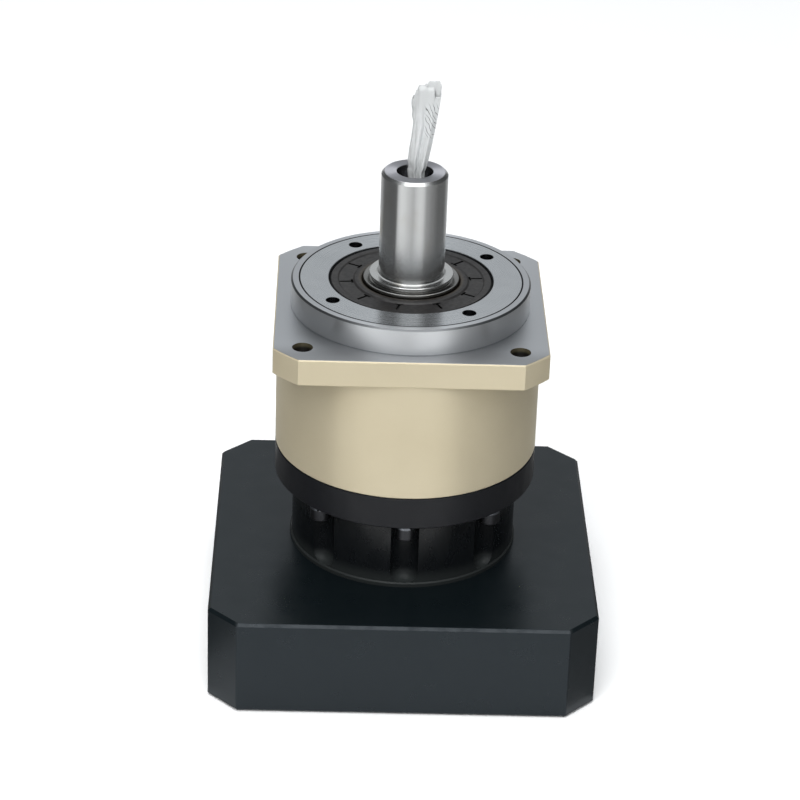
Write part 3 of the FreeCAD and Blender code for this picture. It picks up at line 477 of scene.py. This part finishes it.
def rubber(name, colour, *nodes):
    """Plain dark rubber with paler dusty patches."""
    s = Shader(name, colour, 0.0, 0.5)
    dusty = tuple(c * 1.6 for c in colour)
    s.set("Base Color", s.mix(s.step(s.noise(2.5 * MM, 4.0), 0.45, 0.75), colour, dusty))
    s.set("Roughness", s.vary(s.noise(1.2 * MM), 0.42, 0.6))
    s.bump((s.noise(0.18 * MM, 3.0), 0.006 * MM), (s.lathe_marks(0.5 * MM), 0.004 * MM))
    s.dress(*nodes)


def seal_rubber():
    """Dark rubber with a brown, greasy lip; painted shadow at its outer edge and painted shade in its
    moulded notches.
    """
    s = Shader("seal_rubber", (0.013, 0.012, 0.012), 0.0, 0.42, Specular_IOR_Level=0.42)
    radius = s.radius()
    dust = s.step(s.noise(2.5 * MM, 4.0), 0.45, 0.75)
    face = s.mix(dust, (0.0125, 0.0115, 0.0115), (0.022, 0.020, 0.019))
    face = s.mix(s.below(radius, SEAL_LIP_R, 0.8 * MM), face, (0.034, 0.028, 0.021))
    # Painted shadow: the seal's outer edge by the ring's bore is painted near black.
    edge_painted_shadow = s.above(radius, SEAL_GROOVE_R, 0.15 * MM)
    # Painted shade: the moulded notches below the seal's face are painted near black.
    notch_painted_shade = s.both(
        s.below(s.axis("Z"), PILOT_TOP - 0.75 * MM, 0.15 * MM),
        s.above(radius, SEAL_TRAY_R, 0.15 * MM),
    )
    s.set("Base Color", s.mix(s.either(edge_painted_shadow, notch_painted_shade), face, (0.002, 0.002, 0.002)))
    s.set("Roughness", s.vary(s.noise(1.2 * MM), 0.34, 0.48))
    s.bump((s.noise(0.18 * MM, 3.0), 0.004 * MM), (s.lathe_marks(0.5 * MM), 0.003 * MM))
    s.dress("output_seal", "input_seal")


# Shaft and inner pieces


def bright_shaft():
    """Ground shaft with faint stains; painted shade in the centre hole and on the faced end; the
    journal under the collar is darker.
    """
    s = Shader("bright_steel", (0.68, 0.675, 0.665), 1.0, 0.14)
    z = s.axis("Z")
    marks = s.lathe_marks(0.12 * MM)
    stain = s.step(s.noise(9 * MM, 5.0, (1.0, 1.0, 0.45)), 0.52, 0.8)
    journal = s.below(z, COLLAR_LOW, 0.05 * MM)
    # Painted shade: the centre hole is painted darker.
    hole = s.both(
        s.below(s.radius(), CENTRE_HOLE_R, 0.05 * MM),
        s.below(z, SHAFT_TIP - 0.15 * MM, 0.10 * MM),
    )
    end = s.above(z, SHAFT_TIP - 0.08 * MM, 0.04 * MM)
    ground = s.mix(stain, (0.71, 0.71, 0.70), (0.63, 0.605, 0.55))
    ground = s.mix(s.both(journal, 0.7), ground, (0.14, 0.135, 0.125))
    # Painted shade: the faced end is painted darker than the ground side; it is also rougher.
    ground = s.mix(end, ground, (0.46, 0.46, 0.49))
    s.set("Base Color", s.mix(hole, ground, (0.17, 0.17, 0.18)))
    s.set("Roughness", s.math("ADD", s.vary(marks, 0.16, 0.21), s.both(end, 0.23)))
    s.bump((marks, 0.0018 * MM), (s.lathe_marks(1.1 * MM), 0.0015 * MM))
    s.turned_tangent(0.92, faced=end)
    s.dress("output_shaft_carrier")


def plain_steel(name, colour, roughness, grain, *nodes):
    """Plain machined or hardened steel with fine marks of the given size."""
    s = Shader(name, colour, 1.0, roughness)
    darker = tuple(c * 0.86 for c in colour)
    s.set("Base Color", s.mix(s.noise(3 * MM, 3.0), darker, colour))
    s.set("Roughness", s.vary(s.noise(grain, 3.0), roughness * 0.8, roughness * 1.25))
    s.bump((s.noise(grain, 3.0), 0.003 * MM))
    s.dress(*nodes)


def bearing_nodes(*kinds):
    return [f"{place}_bearing_{kind}" for place in ("front", "rear", "input") for kind in kinds]


def inner_metals():
    gears = [f"planet_gear_{i}" for i in (1, 2, 3)]
    rollers = [f"planet_needles_{i}" for i in (1, 2, 3)] + [f"planet_pin_{i}" for i in (1, 2, 3)]
    plain_steel("gear_steel", (0.36, 0.36, 0.38), 0.28, 0.3 * MM, "input_sun_shaft", *gears)
    plain_steel(
        "bearing_steel", (0.62, 0.63, 0.65), 0.12, 0.2 * MM,
        *bearing_nodes("inner_ring", "outer_ring", "balls"), *rollers,
    )
    plain_steel("cage_steel", (0.48, 0.46, 0.42), 0.35, 0.4 * MM, *bearing_nodes("cage"))
    plain_steel(
        "spring_steel", (0.20, 0.21, 0.23), 0.35, 0.4 * MM,
        "output_seal_spring", "input_seal_spring", "front_bearing_circlip",
        "input_shaft_circlip", "input_bore_circlip", "housing_spring_washers",
    )
    plain_steel("washer_bronze", (0.52, 0.37, 0.17), 0.32, 0.3 * MM, "planet_thrust_washers")
    plain_steel(
        "screw_steel", (0.055, 0.056, 0.06), 0.36, 0.35 * MM,
        "housing_screws", "adapter_screws", "clamp_screw",
    )
    plain_steel("clamp_steel", (0.36, 0.37, 0.39), 0.32, 0.3 * MM, "clamp_collar")


def plug_plastic():
    s = Shader("plug_plastic", (0.014, 0.014, 0.015), 0.0, 0.5)
    s.set("Roughness", s.vary(s.noise(0.8 * MM, 3.0), 0.42, 0.58))
    s.bump((s.noise(0.3 * MM, 3.0), 0.01 * MM))
    s.dress("access_plug")


# Film twist in the centre hole


def crease_shade_lines(s, x, z):
    """A mask of thin, broken, slanted lines on the twist's upper right, where painted crease shade
    goes.
    """
    slant = s.math("ADD", s.math("MULTIPLY", x, 1.7), z)
    wander = s.math("MULTIPLY", s.noise(3.2 * MM, 1.0, offset=3.0), CREASE_WANDER)
    place = s.math("ADD", slant, wander)
    wave = s.math("FRACT", s.math("MULTIPLY", place, 1.0 / CREASE_PITCH))
    line = s.below(s.math("ABSOLUTE", s.math("SUBTRACT", wave, 0.5)), 0.0675, 0.0175)
    broken = s.step(s.noise(1.5 * MM, 2.0, offset=9.0), 0.36, 0.46)
    right = s.above(x, 2.7 * MM, 0.5 * MM)
    band = s.both(
        s.above(z, SHAFT_TIP + 12.25 * MM, 1.25 * MM),
        s.below(z, SHAFT_TIP + 23.25 * MM, 1.25 * MM),
    )
    return s.both(s.both(line, broken), s.both(right, band))


def film_material():
    """Cloudy white film with painted shade: darker at the top, on the left pleat and in streaks near
    the foot, with a few painted crease lines on the right.
    """
    s = Shader("packing_film", (0.60, 0.625, 0.62), 0.0, 0.32)
    x = s.axis("X")
    z = s.axis("Z")
    height = s.math("SUBTRACT", z, SHAFT_TIP)
    cloud = s.noise(1.8 * MM, 3.0, (1.0, 1.0, 0.3))
    shade = s.mix(cloud, (0.54, 0.555, 0.555), (0.63, 0.645, 0.65))
    # Painted shade: the film is darkened towards its top.
    shade = s.mix(s.step(height, 18 * MM, 24 * MM, 0.0, 0.7), shade, (0.48, 0.49, 0.49))
    # Painted shade: the left pleat is darkened in streaks.
    upright = s.math("SUBTRACT", x, s.math("MULTIPLY", height, 0.032))
    streaks = s.step(s.noise(0.45 * MM, 1.0, (1.0, 1.0, 0.05), offset=5.0), 0.44, 0.60)
    left = s.both(s.below(upright, -0.2 * MM, 0.3 * MM), s.step(streaks, 0.0, 1.0, 0.4))
    # Painted shade: darker streaks between the folds near the film's foot.
    foot = s.both(s.step(height, 14 * MM, 3 * MM, 0.0, 0.45), streaks)
    shade = s.mix(s.either(left, foot), shade, (0.44, 0.45, 0.45))
    # Painted shade: the crease lines are painted near black.
    s.set("Base Color", s.mix(crease_shade_lines(s, x, z), shade, (0.015, 0.015, 0.017)))
    s.set("Roughness", s.vary(cloud, 0.26, 0.42))
    s.bump((s.noise(0.9 * MM, 3.0, (1.0, 1.0, 0.4)), 0.05 * MM))
    return s.material


def smooth(value, low, high):
    """0 below low, 1 above high and a smooth curve between."""
    t = min(max((value - low) / (high - low), 0.0), 1.0)
    return t * t * (3 - 2 * t)


def panel_value(across, column):
    """A value of FILM_PANELS across the sheet, blended over each crease."""
    start = 0.0
    value = FILM_PANELS[0][column]
    for before, after in zip(FILM_PANELS, FILM_PANELS[1:]):
        start += before[0]
        change = smooth(across, start - FILM_CREASE, start + FILM_CREASE)
        value += (after[column] - before[column]) * change
    return value


def film_opening(height):
    """How far the pleats have opened at a height, from 0 in the hole to 1 at the top."""
    opening = 0.0
    for (low, a), (high, b) in zip(FILM_OPENING, FILM_OPENING[1:]):
        opening += (b - a) * smooth(height, low, high)
    return opening


def film_heading(across, height):
    """The sheet's direction in plan, in radians, at one place across it and one height."""
    opening = film_opening(height)
    scale_across, scale_up = FILM_SWAY_SCALE
    sway = noise.noise(Vector((across * scale_across, height * scale_up, FILM_SWAY_SEED)))
    sway *= FILM_SWAY * (1.0 - FILM_SWAY_LOSS * opening)
    foot = panel_value(across, FILM_HEADING_FOOT)
    top = panel_value(across, FILM_HEADING_TOP)
    return math.radians(foot + (top - foot) * opening + sway)


def film_length(across):
    """The sheet's length from its foot to its curled-over end, at one place across it."""
    return panel_value(across, FILM_CUT) + panel_value(across, FILM_CURL) - FILM_FOOT


def film_point(across, row, fold):
    """One point of the sheet, found by walking across it from the fold on the right."""
    cut = panel_value(across, FILM_CUT)
    along = FILM_FOOT + film_length(across) * row / FILM_ROWS
    height = min(along, cut)
    low, high, power = FILM_LEAN
    x = low + (high - low) * max(height / FILM_TOP, 0.0) ** power
    y = FILM_FOLD_Y
    step = (across - fold) / FILM_WALK_STEPS
    for i in range(FILM_WALK_STEPS):
        heading = film_heading(fold + step * (i + 0.5), height)
        x += step * math.cos(heading)
        y += step * math.sin(heading)
    bend = (along - height) / FILM_CURL_R
    y += FILM_CURL_R * (1 - math.cos(bend))
    height += FILM_CURL_R * math.sin(bend)
    return (x * MM, y * MM, SHAFT_TIP + height * MM)


def film_mesh(places, fold):
    """The sheet's surface as a grid of points, one column for each place across it."""
    mesh = bmesh.new()
    grid = [
        [mesh.verts.new(film_point(across, row, fold)) for across in places]
        for row in range(FILM_ROWS + 1)
    ]
    for lower, upper in zip(grid, grid[1:]):
        for j in range(FILM_COLUMNS):
            mesh.faces.new((lower[j], lower[j + 1], upper[j + 1], upper[j]))
    data = bpy.data.meshes.new("film_sheet")
    mesh.to_mesh(data)
    mesh.free()
    for face in data.polygons:
        face.use_smooth = True
    return data


def film_twist():
    """One sheet of film in pleats, its foot pushed into the centre hole and its top folded over.

    Each panel keeps its width; only its heading changes with height, so the sheet isn't stretched.
    """
    width = sum(panel[0] for panel in FILM_PANELS)
    fold = sum(panel[0] for panel in FILM_PANELS[:FILM_FOLD])
    places = [width * j / FILM_COLUMNS for j in range(FILM_COLUMNS + 1)]
    data = film_mesh(places, fold)
    sheet = bpy.data.objects.new("film_sheet", data)
    bpy.context.scene.collection.objects.link(sheet)
    data.materials.append(film_material())
    skin = sheet.modifiers.new("thickness", "SOLIDIFY")
    skin.thickness = FILM_THICKNESS * MM
    skin.offset = 0.0
    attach(sheet, "film_twist")
    lengths = [film_length(across) * MM for across in places]
    return sheet


# Stage, light and camera


def floor():
    corners = [(x * FLOOR_HALF, y * FLOOR_HALF, 0) for x, y in ((-1, -1), (1, -1), (1, 1), (-1, 1))]
    mesh = bpy.data.meshes.new("floor")
    mesh.from_pydata(corners, [], [(0, 1, 2, 3)])
    plane = bpy.data.objects.new("floor", mesh)
    bpy.context.scene.collection.objects.link(plane)
    material = bpy.data.materials.new("floor_white")
    material.use_nodes = True
    shader = material.node_tree.nodes["Principled BSDF"]
    shader.inputs["Base Color"].default_value = (0.92, 0.92, 0.92, 1.0)
    shader.inputs["Roughness"].default_value = 0.85
    shader.inputs["Specular IOR Level"].default_value = 0.0
    shader.inputs["Emission Color"].default_value = (1.0, 1.0, 1.0, 1.0)
    shader.inputs["Emission Strength"].default_value = 0.08
    mesh.materials.append(material)


def level_ramp(graph, value, stops, tint):
    """A colour ramp through stops, each (position, level), all in one tint."""
    colour = graph.node("ValToRGB", {"Fac": value})
    elements = colour.node.color_ramp.elements
    while len(elements) < len(stops):
        elements.new(0.5)
    for element, (position, level) in zip(elements, stops):
        element.position = position
        element.color = (level * tint[0], level * tint[1], level * tint[2], 1.0)
    return colour


def ring_glow():
    """A light whose level follows SECTORS round the ring's centre."""
    material = bpy.data.materials.new("reflection_ring")
    material.use_nodes = True
    tree = material.node_tree
    tree.nodes.clear()
    graph = Graph(tree)
    place = graph.node("TexCoord", {}, output="Object")
    ahead = graph.math("MULTIPLY", graph.part(place, "Y"), -1.0)
    turn = graph.math("ARCTAN2", graph.part(place, "X"), ahead)
    along = graph.node("MapRange", {"Value": turn, 1: -math.pi, 2: math.pi})
    stops = [((angle + 180.0) / 360.0, level) for angle, level in SECTORS]
    glow = graph.node("Emission", {"Color": level_ramp(graph, along, stops, RING_TINT)})
    output = tree.nodes.new("ShaderNodeOutputMaterial")
    graph.feed(output.inputs["Surface"], glow)
    return material


def reflection_ring():
    """A flat ring on the floor that only reflections see, with dark and bright sectors.

    It gives turned metal the streaks of a studio: bright in front, dark at the sides.
    """
    verts = []
    for i in range(RING_STEPS):
        a = 2 * math.pi * i / RING_STEPS
        near = min(RING_NEAR_SIDE / max(abs(math.sin(a)), abs(math.cos(a))), RING_NEAR_CORNER)
        if abs(math.cos(a)) > RING_FRONT_COSINE:
            near = RING_NEAR_FRONT
        for reach in (near, RING_FAR):
            verts.append((reach * math.sin(a), -reach * math.cos(a), RING_HEIGHT))
    total = 2 * RING_STEPS
    faces = [
        (2 * i, 2 * i + 1, (2 * i + 3) % total, (2 * i + 2) % total) for i in range(RING_STEPS)
    ]
    mesh = bpy.data.meshes.new("reflection_ring")
    mesh.from_pydata(verts, [], faces)
    ring = bpy.data.objects.new("reflection_ring", mesh)
    bpy.context.scene.collection.objects.link(ring)
    mesh.materials.append(ring_glow())
    for kind in ("camera", "diffuse", "shadow", "transmission", "volume_scatter"):
        setattr(ring, "visible_" + kind, False)


def soft_light(name, azimuth, elevation, distance, size, power, shine=True):
    """A square soft box; azimuth 0 is at the front and 90 on the right. shine: it is reflected."""
    data = bpy.data.lights.new(name, "AREA")
    data.shape = "SQUARE"
    data.size = size
    data.energy = power
    lamp = bpy.data.objects.new(name, data)
    a = math.radians(azimuth)
    e = math.radians(elevation)
    away = Vector((math.sin(a) * math.cos(e), -math.cos(a) * math.cos(e), math.sin(e)))
    lamp.location = Vector((0.0, 0.0, LIGHT_AIM_HEIGHT)) + away * distance
    lamp.rotation_euler = away.to_track_quat("Z", "Y").to_euler()
    lamp.visible_glossy = shine
    bpy.context.scene.collection.objects.link(lamp)


def studio_world():
    """Surroundings: dim near the horizon, in front and at the two sides, white overhead."""
    world = bpy.data.worlds.new("studio")
    bpy.context.scene.world = world
    world.use_nodes = True
    graph = Graph(world.node_tree)
    direction = graph.node("TexCoord", {}, output="Generated")
    sky = level_ramp(graph, graph.part(direction, "Z"), SKY, SKY_TINT)
    aside = graph.math("ABSOLUTE", graph.part(direction, "X"))
    sides = graph.step(aside, 0.32, 0.72, 1.0, 0.10)
    front = graph.step(graph.part(direction, "Y"), -0.62, -0.10, 0.85, 1.0)
    background = world.node_tree.nodes["Background"]
    graph.feed(background.inputs["Color"], sky)
    graph.feed(background.inputs["Strength"], graph.both(sides, front))


def camera():
    """A long lens a little to the left of the front, looking down, with a slight roll."""
    azimuth = math.radians(CAMERA_AZIMUTH)
    elevation = math.radians(CAMERA_ELEVATION)
    roll = math.radians(CAMERA_ROLL)
    back = Vector((
        math.sin(azimuth) * math.cos(elevation),
        -math.cos(azimuth) * math.cos(elevation),
        math.sin(elevation),
    ))
    right = Vector((math.cos(azimuth), math.sin(azimuth), 0.0))
    up = back.cross(right)
    target = right * AIM_RIGHT + Vector((0.0, 0.0, AIM_HEIGHT))
    tilted_right = right * math.cos(roll) + up * math.sin(roll)
    tilted_up = up * math.cos(roll) - right * math.sin(roll)
    data = bpy.data.cameras.new("camera")
    data.sensor_width = CAMERA_SENSOR
    data.lens = CAMERA_LENS
    data.clip_start = 0.05
    data.clip_end = 50.0
    eye = bpy.data.objects.new("camera", data)
    basis = Matrix((tilted_right, tilted_up, back)).transposed().to_4x4()
    eye.matrix_world = Matrix.Translation(target + back * CAMERA_DISTANCE) @ basis
    bpy.context.scene.collection.objects.link(eye)
    bpy.context.scene.camera = eye


champagne_housing()
retaining_ring()
black_housing()
adapter_plate()
seal_rubber()
rubber("black_rubber", (0.01, 0.01, 0.01), "housing_o_ring")
bright_shaft()
inner_metals()
plug_plastic()
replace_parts(film_twist(), "packing_twist")

floor()
reflection_ring()
studio_world()
soft_light("key", azimuth=-14, elevation=50, distance=1.6, size=1.1, power=22.0, shine=False)
soft_light("top", azimuth=0, elevation=88, distance=1.5, size=1.2, power=8.0)
camera()
bpy.context.scene.view_settings.view_transform = "Standard"
